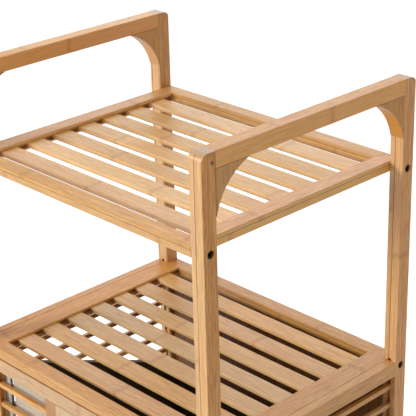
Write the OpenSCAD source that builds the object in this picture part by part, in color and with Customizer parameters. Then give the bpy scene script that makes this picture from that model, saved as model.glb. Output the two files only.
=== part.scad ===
// Rolling utility cart in bamboo: two side frames with grab handles, two slatted shelves,
// slatted side walls, and a tilt-out front that carries a fabric laundry liner.
// X runs left to right, Y front to back, Z up. The origin is on the floor, under the centre.

/* [Cart] */
// Width across the outer faces of the posts
cart_w = 450; // [400:10:560]
// Depth across the outer faces of the posts
cart_d = 350; // [290:10:440]
// Height from the floor to the top of the handles
cart_h = 950; // [860:10:1150]

/* [Posts and handles] */
// Post size from left to right
post_w = 20; // [18:1:26]
// Post size from front to back
post_d = 20; // [18:1:26]
// Radius of the outer top corner of each post
post_round = 9; // [4:1:14]
// Eased edge on posts and rails
edge_round = 1.2; // [0.4:0.1:2]
// Height of the handle rail
handle_h = 20; // [16:1:26]
// Height of the handle top above the upper shelf
handle_rise = 107.5; // [95:0.5:150]
// Length of a bracket along the handle rail
bracket_reach = 50; // [30:1:65]
// Length of a bracket down the post
bracket_drop = 54; // [30:1:65]
// Radius of the hollow edge of a bracket
bracket_radius = 75; // [60:1:120]

/* [Shelves] */
// Distance between the tops of the two shelves
shelf_gap = 270.5; // [200:0.5:320]
// Thickness of the shelf frames
shelf_t = 13.5; // [13:0.5:18]
// Width of the left and right shelf rails
shelf_side_w = 24; // [20:1:32]
// Width of the front and back shelf rails
shelf_end_w = 21; // [18:1:28]
// Number of slats in a shelf
slat_count = 7; // [5:1:7]
// Width of a shelf slat
slat_w = 26; // [18:1:28]
// Thickness of a shelf slat
slat_t = 6; // [5:0.5:7]
// Eased edge on the slats
slat_round = 1; // [0.4:0.1:1.5]
// Step from the upper shelf's rails down to its slats
upper_slat_drop = 5; // [1:0.5:5.5]
// Step from the middle shelf's rails down to its slats
middle_slat_drop = 3; // [1:0.5:5.5]
// Length of slat held in the groove of a side rail
slat_tenon = 7; // [4:0.5:12]
// How far the middle shelf laps over the side frames
shelf_lap = 7; // [4:0.5:9]

/* [Side walls] */
// Height of the rails in the side frames
side_rail_h = 20; // [19:1:28]
// Height of the underside of the base above the floor
base_z = 84; // [80:1:110]
// Height of the base rails
base_rail_h = 20; // [18:1:28]
// Height of a side wall slat
side_slat_h = 7; // [5:0.5:12]
// Thickness of a side wall slat
side_slat_t = 6; // [4:0.5:7]
// Spacing of the side wall slats
side_slat_pitch = 27.5; // [20:0.5:40]
// Clear space above the highest side wall slat
side_slat_first = 15.5; // [8:0.5:25]
// Depth of the slat groove in the posts
post_groove = 6; // [4:0.5:6.5]
// Length of side wall slat held in the groove
side_seat = 5.5; // [3:0.5:5.5]
// Wood left outside the slat groove
groove_lip = 7.5; // [6:0.5:8]
// Thickness of the base board
base_board_t = 4; // [3:0.5:5]
// Depth of the base board's seat in the base rails
base_board_seat = 4; // [2:0.5:4]
// Height of the base board above the underside of the base rails
base_board_z = 10; // [9:0.5:12]
// Thickness of the back panel
back_panel_t = 4; // [3:0.5:5]
// Depth of the back panel's seat in the posts
back_panel_seat = 5; // [3:0.5:6]
// Distance from the back of the posts to the back panel
back_panel_inset = 9; // [7:0.5:9]

/* [Tilting front] */
// Space between the tilting front and each post
front_side_gap = 2; // [1:0.5:4]
// Space above the tilting front
front_top_gap = 4; // [3:0.5:8]
// Space below the tilting front
front_bottom_gap = 4.5; // [4:0.5:8]
// Step from the face of the posts to the face of the tilting front
front_recess = 2; // [0:0.5:3]
// Thickness of the tilting front
front_t = 12; // [11:0.5:20]
// Height of its top and bottom rails
front_rail_h = 20; // [18:1:30]
// Width of its two outer stiles
stile_w = 17; // [8:0.5:22]
// Width of its two inner uprights
mullion_w = 22; // [16:1:30]
// Width of the centre board
centre_w = 122; // [90:1:150]
// Thickness of the centre board
centre_t = 10; // [7:0.5:11]
// Height of a front slat
front_slat_h = 7; // [5:0.5:12]
// Thickness of a front slat
front_slat_t = 6; // [4:0.5:8]
// Spacing of the front slats
front_slat_pitch = 30; // [22:0.5:40]
// Clear space above the highest front slat
front_slat_first = 19.5; // [10:0.5:30]
// Step from the face of the tilting front to its slats
front_slat_inset = 2; // [1:0.5:3]
// Length of front slat held in the stiles and inner uprights
front_slat_seat = 4; // [2:0.5:5]
// Length of the finger grip
grip_w = 84; // [70:1:88]
// Height of the finger grip
grip_h = 26; // [20:1:34]
// Distance from the top rail down to the middle of the grip
grip_drop = 46; // [30:1:70]

/* [Tilt] */
// Diameter of the two pivot pins
pivot_d = 6; // [4:0.5:6]
// Clearance of the pivot pins, on the radius
pivot_clear = 0.05; // [0.02:0.01:0.1]
// Length of a pivot pin in the post
pivot_in_post = 12; // [8:0.5:14]
// Length of a pivot pin in the bottom rail
pivot_in_rail = 14; // [10:0.5:20]
// Angle at which the tilting front meets its stops
tilt_max = 28; // [20:1:32]
// Clearance left at the stops
stop_gap = 0.4; // [0.3:0.1:1]
// Size of a stop block from left to right
stop_w = 16; // [12:1:18]
// Size of a stop block from front to back
stop_d = 18; // [12:1:30]

/* [Liner] */
// Space between the liner and the posts' inner faces
liner_inset = 27; // [27:1:60]
// Space between the liner and the back panel
liner_back_gap = 36.5; // [25:0.5:60]
// Slope of the liner's rim, falling to the back
rim_slope = 22.5; // [15:0.5:28]
// Distance from the top of the front to the rim rod
rim_drop = 11; // [9:0.5:16]
// Diameter of the rim rod
rim_d = 5; // [4:0.5:6]
// Length of rim rod held in the top rail
rim_seat = 8; // [6:0.5:9]
// Bend radius of the rim rod, on its centre line
rim_bend = 20; // [12:1:30]
// Height of the liner's hem above the rim rod
hem_rise = 5; // [3:0.5:6]
// Thickness of the liner
liner_wall = 2; // [1:0.5:3]
// Space between the bottom rail and the underside of the liner
liner_floor_gap = 4; // [2:0.5:10]

/* [Casters] */
// Height of the casters, from the floor to the posts
caster_h = 68; // [66:1:72]
// Wheel diameter
wheel_d = 50; // [42:1:50]
// Width of the tyre
tyre_w = 18; // [14:0.5:19]
// Depth of the tyre, on the radius
tyre_t = 7; // [5:0.5:9]
// Radius of the tyre's shoulders
tyre_round = 4; // [2:0.5:5]
// Width of the wheel hub
hub_w = 19; // [16:0.5:19]
// Distance from the swivel axis to the axle
trail = 18; // [14:1:20]
// Axle diameter
axle_d = 6; // [5:0.5:8]
// Running clearance of wheel, swivel and brake, on the radius
caster_clear = 0.05; // [0.02:0.01:0.1]
// Stem diameter
stem_d = 8; // [6:0.5:8]
// Length of stem in the post
stem_seat = 20; // [14:1:20]
// Thickness of the fork's cheeks
cheek_t = 2.5; // [2:0.1:3]
// Space between the fork's cheeks
fork_gap = 20.6; // [20.4:0.1:24]
// Diameter of the brake pedal's trunnions
trunnion_d = 4; // [3:0.5:5]

/* [Fasteners] */
// Diameter of the connector bolts
bolt_d = 6; // [5:0.5:6]
// Diameter of the bolt heads
bolt_head_d = 9.4; // [8:0.1:9.4]
// Height of the bolt heads
bolt_head_h = 4; // [2:0.5:4]
// Socket in the bolt heads, across its flats
bolt_socket = 4; // [3:0.5:5]
// Diameter of the counterbores in the posts
counterbore_d = 10; // [9.5:0.5:12]
// Depth of the counterbores
counterbore_depth = 6; // [4.5:0.5:8]
// Length of the bolts under the head
bolt_len = 42; // [38:1:46]
// Diameter of the barrel nuts
nut_d = 10; // [8:0.5:10]
// Length of the barrel nuts
nut_len = 11; // [9:0.5:11]
// How far the middle of a barrel nut lies below its bolt
nut_offset = 0.75; // [0:0.25:1.5]
// Distance from the posts' inner faces to the barrel nuts
nut_inset = 22; // [16:1:22]
// Diameter of the dowels
dowel_d = 5; // [4:0.5:5]
// Length of the dowels
dowel_len = 22; // [16:1:28]
// Length of dowel in the post, short of the bolts
dowel_in_post = 5.5; // [3:0.5:6]

/* [Hidden] */
$fn = 48;
// Past a face that is cut through
over = 1;
out_x = cart_w / 2;
out_y = cart_d / 2;
in_x = out_x - post_w;
in_y = out_y - post_d;
mid_x = out_x - post_w / 2;
mid_y = out_y - post_d / 2;
upper_z = cart_h - handle_rise;
middle_z = upper_z - shelf_gap;
shelf_under = middle_z - shelf_t;
base_top = base_z + base_rail_h;
side_rail_z = middle_z - side_rail_h;
handle_z = cart_h - handle_h;
// Shelf slats
slat_field_x = in_x - shelf_side_w;
slat_field_y = out_y - shelf_end_w;
slat_gap = (2 * slat_field_y - slat_count * slat_w) / (slat_count + 1);
// Side wall slats
side_field = side_rail_z - base_top;
side_slat_n = floor((side_field - side_slat_first - side_slat_h) / side_slat_pitch) + 1;
groove_x = out_x - groove_lip - side_slat_t;
// Tilting front
front_x = in_x - front_side_gap;
front_y = -out_y + front_recess;
front_back = front_y + front_t;
front_top = shelf_under - front_top_gap;
front_bottom = base_top + front_bottom_gap;
field_top = front_top - front_rail_h;
field_bottom = front_bottom + front_rail_h;
mullion_x = centre_w / 2;
bank_in = mullion_x + mullion_w;
bank_out = front_x - stile_w;
front_field = field_top - field_bottom;
front_slat_n = floor((front_field - front_slat_first - front_slat_h) / front_slat_pitch) + 1;
front_slat_y = front_y + front_slat_inset;
pivot_y = front_y + front_t / 2;
pivot_z = front_bottom + front_rail_h / 2;
// Where the lower back edge of the front comes to at full tilt
tilt_stop_y = pivot_y + (front_back - pivot_y) * cos(tilt_max)
    + (pivot_z - front_bottom) * sin(tilt_max) + stop_gap;
tilt_stop_top = pivot_z + 2;
// Back panel
panel_back = out_y - back_panel_inset;
panel_front = panel_back - back_panel_t;
// Liner
liner_x = in_x - liner_inset;
liner_back = panel_front - liner_back_gap;
liner_d = liner_back - front_back;
liner_floor = field_bottom + liner_floor_gap;
rim_z = front_top - rim_drop;
rim_fit = 0.2;
rim_x = liner_x + rim_d / 2 + rim_fit;
rim_len = (liner_d + rim_d / 2 + rim_fit) / cos(rim_slope);
hem_front = rim_z + hem_rise;
hem_back = hem_front - liner_d * tan(rim_slope);
// Bolts
upper_bolt_z = upper_z - shelf_t / 2;
middle_bolt_z = middle_z - shelf_t / 2;
base_bolt_z = base_z + base_rail_h / 2;
bolt_levels = [upper_bolt_z, middle_bolt_z, base_bolt_z];
head_x = out_x - counterbore_depth;
bolt_tip = head_x - bolt_len;
nut_x = in_x - nut_inset;
nut_above = nut_len / 2 - nut_offset;
nut_end_gap = 0.5;
// Dowels, one in each end of a side frame rail
dowel_mid_x = out_x - groove_lip + dowel_d / 2 + 0.3;
dowel_seats = [[mid_x, handle_z + handle_h / 2], [dowel_mid_x, side_rail_z + dowel_d],
    [mid_x, base_bolt_z]];
dowel_start = in_y + dowel_in_post - dowel_len;
dowel_end = in_y + dowel_in_post;
// Casters
wheel_r = wheel_d / 2;
hub_r = wheel_r - tyre_t;
flange_t = 2;
flange_d = 18;
play = 0.3;
fork_top = caster_h - flange_t - play;
fork_plate_t = 7.4;
fork_under = fork_top - fork_plate_t;
stem_head_d = 13;
stem_head_t = 2.5;
cheek_y = fork_gap / 2;
axle_head_d = 9;
axle_head_t = 1.5;
boss_r = 8;
fork_back = -9;
fork_fore = 14;
ear_x = trail + 8;
ear_z = fork_under - 3;
ear_r = 5.5;
pedal_w = 19;
pedal_r = 4.6;

bamboo = "#dcb27c";
bamboo_side = "#c99a63";
bamboo_light = "#e6cba3";
bamboo_dark = "#bf8f5c";
steel = "#b9bcc0";
fabric = "#cbb99d";
grey_plastic = "#5d6063";
grey_rubber = "#8b8e90";

// ---- Shared shapes ----

module rounded(w, h, r) {
    translate([r, 0]) square([w - 2 * r, h]);
    translate([0, r]) square([w, h - 2 * r]);
    for (x = [r, w - r], y = [r, h - r]) translate([x, y]) circle(r);
}

// Bars with eased long edges, from one corner to the opposite one
module bar_x(a, b, r) {
    translate(a) rotate([90, 0, 90]) linear_extrude(b[0] - a[0])
        rounded(b[1] - a[1], b[2] - a[2], r);
}

module bar_y(a, b, r) {
    translate([a[0], b[1], a[2]]) rotate([90, 0, 0]) linear_extrude(b[1] - a[1])
        rounded(b[0] - a[0], b[2] - a[2], r);
}

module bar_z(a, b, r) {
    translate(a) linear_extrude(b[2] - a[2]) rounded(b[0] - a[0], b[1] - a[1], r);
}

module block(a, b) {
    translate(a) cube(b - a);
}

module rod_x(x0, x1, y, z, d) {
    translate([x0, y, z]) rotate([0, 90, 0]) cylinder(d = d, h = x1 - x0);
}

module rod_y(x, y0, y1, z, d) {
    translate([x, y1, z]) rotate([90, 0, 0]) cylinder(d = d, h = y1 - y0);
}

module both_x() {
    children();
    mirror([1, 0, 0]) children();
}

module both_y() {
    children();
    mirror([0, 1, 0]) children();
}

// ---- Side frames ----

module bolt_path() {
    for (z = bolt_levels) {
        rod_x(in_x - over, out_x + over, mid_y, z, bolt_d);
        rod_x(head_x, out_x + over, mid_y, z, counterbore_d);
    }
}

module dowel_row() {
    for (s = dowel_seats) rod_y(s[0], dowel_start, dowel_end, s[1], dowel_d);
}

// The groove's top end is round and shows just above the middle shelf
module slat_groove() {
    block([groove_x, in_y - over, base_top], [groove_x + side_slat_t, in_y + post_groove, middle_z]);
    rod_y(groove_x + side_slat_t / 2, in_y - over, in_y + post_groove, middle_z, side_slat_t);
}

// The corner between the top and the outer face, outside its rounding
module corner_waste() {
    difference() {
        block([in_x - over, out_y - post_round, cart_h - post_round],
            [out_x + over, out_y + over, cart_h + over]);
        rod_x(in_x - 2 * over, out_x + 2 * over, out_y - post_round, cart_h - post_round,
            2 * post_round);
    }
}

// A right-hand post at the back
module post_blank() {
    difference() {
        bar_z([in_x, in_y, caster_h], [out_x, out_y, cart_h], edge_round);
        corner_waste();
        slat_groove();
        bolt_path();
        dowel_row();
        translate([mid_x, mid_y, caster_h - over]) cylinder(d = stem_d, h = stem_seat + over);
    }
}

module post_back() {
    color(bamboo) difference() {
        post_blank();
        block([in_x - over, panel_front, base_top], [in_x + back_panel_seat, panel_back, shelf_under]);
    }
}

module post_front() {
    color(bamboo) difference() {
        mirror([0, 1, 0]) post_blank();
        rod_x(in_x - over, in_x + pivot_in_post, pivot_y, pivot_z, pivot_d);
    }
}

module post_back_right() {
    post_back();
}

module post_back_left() {
    mirror([1, 0, 0]) post_back();
}

module post_front_right() {
    post_front();
}

module post_front_left() {
    mirror([1, 0, 0]) post_front();
}

module handle_rail_right() {
    color(bamboo) difference() {
        bar_y([in_x, -in_y, handle_z], [out_x, in_y, cart_h], edge_round);
        both_y() dowel_row();
    }
}

module handle_rail_left() {
    mirror([1, 0, 0]) handle_rail_right();
}

// Corner piece between post and handle rail, with a hollow edge
module bracket() {
    chord = norm([bracket_reach, bracket_drop]);
    rise = sqrt(bracket_radius * bracket_radius - chord * chord / 4);
    hollow = [-bracket_reach / 2 - rise * bracket_drop / chord,
        -bracket_drop / 2 - rise * bracket_reach / chord];
    translate([in_x, in_y, handle_z]) rotate([90, 0, 90]) linear_extrude(post_w) difference() {
        polygon([[0, 0], [-bracket_reach, 0], [0, -bracket_drop]]);
        translate(hollow) circle(bracket_radius, $fn = 96);
    }
}

module handle_brackets() {
    color(bamboo_side) both_x() both_y() bracket();
}

module side_middle_rail_right() {
    color(bamboo) difference() {
        bar_y([in_x, -in_y, side_rail_z], [out_x, in_y, middle_z], edge_round);
        block([in_x - over, -in_y - over, shelf_under], [in_x + shelf_lap, in_y + over, middle_z + over]);
        both_y() dowel_row();
    }
}

module side_middle_rail_left() {
    mirror([1, 0, 0]) side_middle_rail_right();
}

module side_bottom_rails() {
    color(bamboo) both_x() difference() {
        bar_y([in_x, -in_y, base_z], [out_x, in_y, base_top], edge_round);
        both_y() dowel_row();
    }
}

module side_slats_right() {
    color(bamboo_side) for (i = [0 : side_slat_n - 1]) {
        z = side_rail_z - side_slat_first - side_slat_h - i * side_slat_pitch;
        bar_y([groove_x, -in_y - side_seat, z],
            [groove_x + side_slat_t, in_y + side_seat, z + side_slat_h], slat_round);
    }
}

module side_slats_left() {
    mirror([1, 0, 0]) side_slats_right();
}

// ---- Shelves ----

// Bores for bolts and barrel nuts in a front or back rail
module joint_bores(top, thick) {
    both_x() both_y() {
        rod_x(bolt_tip - over, in_x + over, mid_y, top - thick / 2, bolt_d);
        translate([nut_x, mid_y, top - thick - over])
            cylinder(d = nut_d, h = thick / 2 + nut_above + nut_end_gap + over);
    }
}

// Plan of a mitred rail along the back
module end_plan() {
    polygon([[-in_x, out_y], [in_x, out_y], [slat_field_x, slat_field_y],
        [-slat_field_x, slat_field_y]]);
}

// Plan of a mitred rail along the right-hand side
module side_plan() {
    polygon([[in_x, out_y], [in_x, -out_y], [slat_field_x, -slat_field_y],
        [slat_field_x, slat_field_y]]);
}

module shelf_back_rail(top) {
    color(bamboo) difference() {
        intersection() {
            bar_x([-in_x, slat_field_y, top - shelf_t], [in_x, out_y, top], edge_round);
            translate([0, 0, top - shelf_t]) linear_extrude(shelf_t) end_plan();
        }
        joint_bores(top, shelf_t);
    }
}

module shelf_right_rail(top, drop, lap) {
    color(bamboo) difference() {
        intersection() {
            bar_y([slat_field_x, -out_y, top - shelf_t], [in_x + lap, out_y, top], edge_round);
            union() {
                translate([0, 0, top - shelf_t]) linear_extrude(shelf_t) side_plan();
                if (lap > 0)
                    block([in_x - over, -in_y, top - shelf_t], [in_x + lap, in_y, top]);
            }
        }
        block([slat_field_x - over, -slat_field_y, top - drop - slat_t],
            [slat_field_x + slat_tenon, slat_field_y, top - drop]);
        joint_bores(top, shelf_t);
    }
}

module shelf_slats(top, drop) {
    reach = slat_field_x + slat_tenon;
    color(bamboo) for (i = [0 : slat_count - 1]) {
        y = -slat_field_y + slat_gap + i * (slat_w + slat_gap);
        bar_x([-reach, y, top - drop - slat_t], [reach, y + slat_w, top - drop], slat_round);
    }
}

module upper_back_rail() {
    shelf_back_rail(upper_z);
}

module upper_front_rail() {
    mirror([0, 1, 0]) shelf_back_rail(upper_z);
}

module upper_right_rail() {
    shelf_right_rail(upper_z, upper_slat_drop, 0);
}

module upper_left_rail() {
    mirror([1, 0, 0]) shelf_right_rail(upper_z, upper_slat_drop, 0);
}

module upper_slats() {
    shelf_slats(upper_z, upper_slat_drop);
}

module middle_back_rail() {
    shelf_back_rail(middle_z);
}

module middle_front_rail() {
    mirror([0, 1, 0]) shelf_back_rail(middle_z);
}

module middle_right_rail() {
    shelf_right_rail(middle_z, middle_slat_drop, shelf_lap);
}

module middle_left_rail() {
    mirror([1, 0, 0]) shelf_right_rail(middle_z, middle_slat_drop, shelf_lap);
}

module middle_slats() {
    shelf_slats(middle_z, middle_slat_drop);
}

// ---- Base and back ----

module base_back_rail() {
    z = base_z + base_board_z;
    color(bamboo) difference() {
        bar_x([-in_x, in_y, base_z], [in_x, out_y, base_top], edge_round);
        joint_bores(base_top, base_rail_h);
        block([-in_x - over, in_y - over, z], [in_x + over, in_y + base_board_seat, z + base_board_t]);
    }
}

module base_front_rail() {
    mirror([0, 1, 0]) base_back_rail();
}

module base_board() {
    y = in_y + base_board_seat;
    z = base_z + base_board_z;
    color(bamboo_light) block([-in_x, -y, z], [in_x, y, z + base_board_t]);
}

module back_panel() {
    x = in_x + back_panel_seat;
    color(bamboo_dark) block([-x, panel_front, base_top], [x, panel_back, shelf_under]);
}

// ---- Fasteners and stops ----

module connector_bolt() {
    difference() {
        union() {
            rod_x(bolt_tip, head_x, 0, 0, bolt_d);
            rod_x(head_x, head_x + bolt_head_h, 0, 0, bolt_head_d);
        }
        translate([head_x + bolt_head_h / 3, 0, 0]) rotate([0, 90, 0])
            cylinder(d = bolt_socket / cos(30), h = bolt_head_h, $fn = 6);
    }
}

module connector_bolts() {
    color(steel) both_x() both_y() for (z = bolt_levels) translate([0, mid_y, z]) connector_bolt();
}

module barrel_nuts() {
    color(steel) both_x() both_y() for (z = bolt_levels) difference() {
        translate([nut_x, mid_y, z + nut_above - nut_len]) cylinder(d = nut_d, h = nut_len);
        rod_x(nut_x - nut_d, nut_x + nut_d, mid_y, z, bolt_d);
    }
}

module dowels() {
    color(bamboo_light) both_x() both_y() dowel_row();
}

module pivot_pins() {
    color(steel) both_x()
        rod_x(front_x - pivot_in_rail, in_x + pivot_in_post, pivot_y, pivot_z, pivot_d);
}

// The upper pair stops the front as it closes, the lower pair as it tilts out
module stop_blocks() {
    x = in_x - 3;
    y = front_back + stop_gap;
    z = base_z + base_board_z + base_board_t;
    color(bamboo_side) both_x() {
        block([x - stop_w, y, front_top - front_rail_h / 2], [x, y + stop_d, shelf_under]);
        block([x - stop_w, -in_y, z], [x, tilt_stop_y + stop_d, tilt_stop_top]);
        block([x - stop_w, tilt_stop_y, base_top], [x, tilt_stop_y + stop_d, tilt_stop_top]);
    }
}

// ---- Tilting front ----

// Into the rim's own plane, with its origin where the rim leaves the top rail
module rim_plane() {
    translate([0, front_back, rim_z]) rotate([-rim_slope, 0, 0]) children();
}

module front_top_rail() {
    color(bamboo) difference() {
        bar_x([-front_x, front_y, field_top], [front_x, front_back, front_top], edge_round);
        rim_plane() both_x() rod_y(rim_x, -rim_seat, rim_d, 0, rim_d);
    }
}

module front_bottom_rail() {
    color(bamboo) difference() {
        bar_x([-front_x, front_y, front_bottom], [front_x, front_back, field_bottom], edge_round);
        both_x() rod_x(front_x - pivot_in_rail - over, front_x + over, pivot_y, pivot_z,
            pivot_d + 2 * pivot_clear);
    }
}

module front_stiles() {
    color(bamboo) both_x() difference() {
        bar_z([bank_out, front_y, field_bottom], [front_x, front_back, field_top], edge_round);
        block([bank_out - over, front_slat_y, field_bottom - over],
            [bank_out + front_slat_seat, front_slat_y + front_slat_t, field_top + over]);
    }
}

module front_mullions() {
    color(bamboo_dark) both_x() difference() {
        bar_z([mullion_x, front_y, field_bottom], [bank_in, front_back, field_top], edge_round);
        block([bank_in - front_slat_seat, front_slat_y, field_bottom - over],
            [bank_in + over, front_slat_y + front_slat_t, field_top + over]);
    }
}

// Finger grip with round ends
module grip() {
    z = field_top - grip_drop;
    half = (grip_w - grip_h) / 2;
    block([-half, front_y - over, z - grip_h / 2], [half, front_y + centre_t + over, z + grip_h / 2]);
    for (x = [-half, half]) rod_y(x, front_y - over, front_y + centre_t + over, z, grip_h);
}

module centre_board() {
    color(bamboo_light) difference() {
        block([-mullion_x, front_y, field_bottom], [mullion_x, front_y + centre_t, field_top]);
        grip();
    }
}

module front_slats_right() {
    color(bamboo) for (i = [0 : front_slat_n - 1]) {
        z = field_top - front_slat_first - front_slat_h - i * front_slat_pitch;
        bar_x([bank_in - front_slat_seat, front_slat_y, z],
            [bank_out + front_slat_seat, front_slat_y + front_slat_t, z + front_slat_h], slat_round);
    }
}

module front_slats_left() {
    mirror([1, 0, 0]) front_slats_right();
}

// ---- Liner ----

module liner_rim() {
    corner = rim_x - rim_bend;
    far = rim_len - rim_bend;
    color(steel) rim_plane() {
        both_x() {
            rod_y(rim_x, -rim_seat, far, 0, rim_d);
            translate([corner, far, 0]) rotate_extrude(angle = 90)
                translate([rim_bend, 0]) circle(d = rim_d);
        }
        rod_x(-corner, corner, rim_len, 0, rim_d);
    }
}

// Plan of the liner, shrunk by the wall, with its back corners inside the bends of the rim
module liner_plan(wall) {
    x = liner_x - wall;
    r = rim_bend - wall;
    translate([-x, front_back + wall]) square([2 * x, liner_d - wall - rim_bend]);
    translate([r - x, front_back + wall]) square([2 * (x - r), liner_d - 2 * wall]);
    for (side = [-1, 1]) translate([side * (x - r), liner_back - wall - r]) circle(r);
}

// All that lies below the sloping hem, from one side of the liner to the other
module below_hem() {
    translate([-liner_x - over, 0, 0]) rotate([90, 0, 90]) linear_extrude(2 * (liner_x + over))
        polygon([[front_back, liner_floor], [liner_back, liner_floor], [liner_back, hem_back],
            [front_back, hem_front]]);
}

module liner_bag() {
    color(fabric) difference() {
        intersection() {
            translate([0, 0, liner_floor]) linear_extrude(front_top - liner_floor) liner_plan(0);
            below_hem();
        }
        translate([0, 0, liner_floor + liner_wall]) linear_extrude(front_top - liner_floor)
            liner_plan(liner_wall);
    }
}

// ---- Casters: drawn with the swivel axis on Z and the wheel trailing along X ----

module at_caster(side, end) {
    translate([side * mid_x, end * mid_y, 0]) rotate([0, 0, side > 0 ? 180 : 0]) children();
}

module caster_stem() {
    under = caster_h - flange_t;
    neck = fork_under - play;
    translate([0, 0, neck]) cylinder(d = stem_d, h = caster_h + stem_seat - neck);
    translate([0, 0, under]) cylinder(d = flange_d, h = flange_t);
    translate([0, 0, neck - stem_head_t]) cylinder(d = stem_head_d, h = stem_head_t);
}

module caster_stems() {
    color(steel) for (side = [-1, 1], end = [-1, 1]) at_caster(side, end) caster_stem();
}

module cheek(braked) {
    rotate([90, 0, 0]) linear_extrude(cheek_t) {
        polygon([[fork_back, fork_top], [fork_fore, fork_top], [trail + boss_r, wheel_r],
            [trail - boss_r, wheel_r], [fork_back, fork_under]]);
        translate([trail, wheel_r]) circle(boss_r);
        if (braked) {
            translate([ear_x, ear_z]) circle(ear_r);
            polygon([[fork_back, fork_top], [fork_fore, fork_top], [ear_x + ear_r, ear_z],
                [trail + boss_r, wheel_r]]);
        }
    }
}

module caster_fork(braked) {
    color(grey_plastic) difference() {
        union() {
            block([fork_back, -cheek_y - cheek_t, fork_under],
                [fork_fore, cheek_y + cheek_t, fork_top]);
            translate([0, -cheek_y, 0]) cheek(braked);
            translate([0, cheek_y + cheek_t, 0]) cheek(braked);
        }
        translate([0, 0, fork_under - over])
            cylinder(d = stem_d + 2 * caster_clear, h = fork_plate_t + 2 * over);
        rod_y(trail, -cheek_y - 2 * cheek_t, cheek_y + 2 * cheek_t, wheel_r, axle_d);
        if (braked)
            rod_y(ear_x, -cheek_y - 2 * cheek_t, cheek_y + 2 * cheek_t, ear_z,
                trunnion_d + 2 * caster_clear);
    }
}

module caster_axle() {
    end = cheek_y + cheek_t;
    color(steel) {
        rod_y(trail, -end, end, wheel_r, axle_d);
        rod_y(trail, end, end + axle_head_t, wheel_r, axle_head_d);
        rod_y(trail, -end - axle_head_t, -end, wheel_r, axle_head_d);
    }
}

// Hub turned about Z, with a hollow on each face
module hub_shape() {
    bore = axle_d / 2 + caster_clear;
    sleeve = axle_d / 2 + 3;
    web = hub_w / 6;
    rim = hub_r - 2.5;
    half = hub_w / 2;
    rotate_extrude() polygon([[bore, -half], [sleeve, -half], [sleeve, -web], [rim, -web],
        [rim, -half], [hub_r, -half], [hub_r, half], [rim, half], [rim, web], [sleeve, web],
        [sleeve, half], [bore, half]]);
}

module tyre_shape() {
    half = tyre_w / 2;
    rotate_extrude() intersection() {
        translate([hub_r, -half]) square([tyre_t, tyre_w]);
        translate([hub_r - tyre_round, -half]) rounded(tyre_t + tyre_round, tyre_w, tyre_round);
    }
}

module on_axle() {
    translate([trail, 0, wheel_r]) rotate([90, 0, 0]) children();
}

module wheel_hub() {
    color(grey_plastic) on_axle() hub_shape();
}

module wheel_tyre() {
    color(grey_rubber) on_axle() tyre_shape();
}

// Pedal on two trunnions, with a rounded shoe just clear of the tyre
module brake_pedal() {
    end = cheek_y + cheek_t;
    color(grey_plastic) {
        translate([0, pedal_w / 2, 0]) rotate([90, 0, 0]) linear_extrude(pedal_w) {
            translate([ear_x, ear_z]) circle(pedal_r);
            polygon([[ear_x, ear_z + pedal_r], [ear_x, ear_z], [ear_x + 24, ear_z + 1],
                [ear_x + 26, ear_z + 4], [ear_x + 24, ear_z + 5]]);
        }
        rod_y(ear_x, -end, end, ear_z, trunnion_d);
    }
}

module caster_fork_fl() {
    at_caster(-1, -1) caster_fork(true);
}

module caster_fork_fr() {
    at_caster(1, -1) caster_fork(true);
}

module caster_fork_bl() {
    at_caster(-1, 1) caster_fork(false);
}

module caster_fork_br() {
    at_caster(1, 1) caster_fork(false);
}

post_front_left();
post_front_right();
post_back_left();
post_back_right();
handle_rail_left();
handle_rail_right();
handle_brackets();
side_middle_rail_left();
side_middle_rail_right();
side_bottom_rails();
side_slats_left();
side_slats_right();
upper_front_rail();
upper_back_rail();
upper_left_rail();
upper_right_rail();
upper_slats();
middle_front_rail();
middle_back_rail();
middle_left_rail();
middle_right_rail();
middle_slats();
base_front_rail();
base_back_rail();
base_board();
back_panel();
connector_bolts();
barrel_nuts();
dowels();
pivot_pins();
stop_blocks();
caster_stems();
front_top_rail();
front_bottom_rail();
front_stiles();
front_mullions();
centre_board();
front_slats_left();
front_slats_right();
liner_rim();
liner_bag();
caster_fork_fl();
caster_fork_fr();
caster_fork_bl();
caster_fork_br();
at_caster(-1, -1) caster_axle();  // caster_axle_fl
at_caster(1, -1) caster_axle();  // caster_axle_fr
at_caster(-1, 1) caster_axle();  // caster_axle_bl
at_caster(1, 1) caster_axle();  // caster_axle_br
at_caster(-1, -1) wheel_hub();  // wheel_hub_fl
at_caster(1, -1) wheel_hub();  // wheel_hub_fr
at_caster(-1, 1) wheel_hub();  // wheel_hub_bl
at_caster(1, 1) wheel_hub();  // wheel_hub_br
at_caster(-1, -1) wheel_tyre();  // wheel_tyre_fl
at_caster(1, -1) wheel_tyre();  // wheel_tyre_fr
at_caster(-1, 1) wheel_tyre();  // wheel_tyre_bl
at_caster(1, 1) wheel_tyre();  // wheel_tyre_br
at_caster(-1, -1) brake_pedal();  // brake_pedal_fl
at_caster(1, -1) brake_pedal();  // brake_pedal_fr
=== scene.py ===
import math
import random
import bpy
from mathutils import Matrix, Vector, noise


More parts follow.
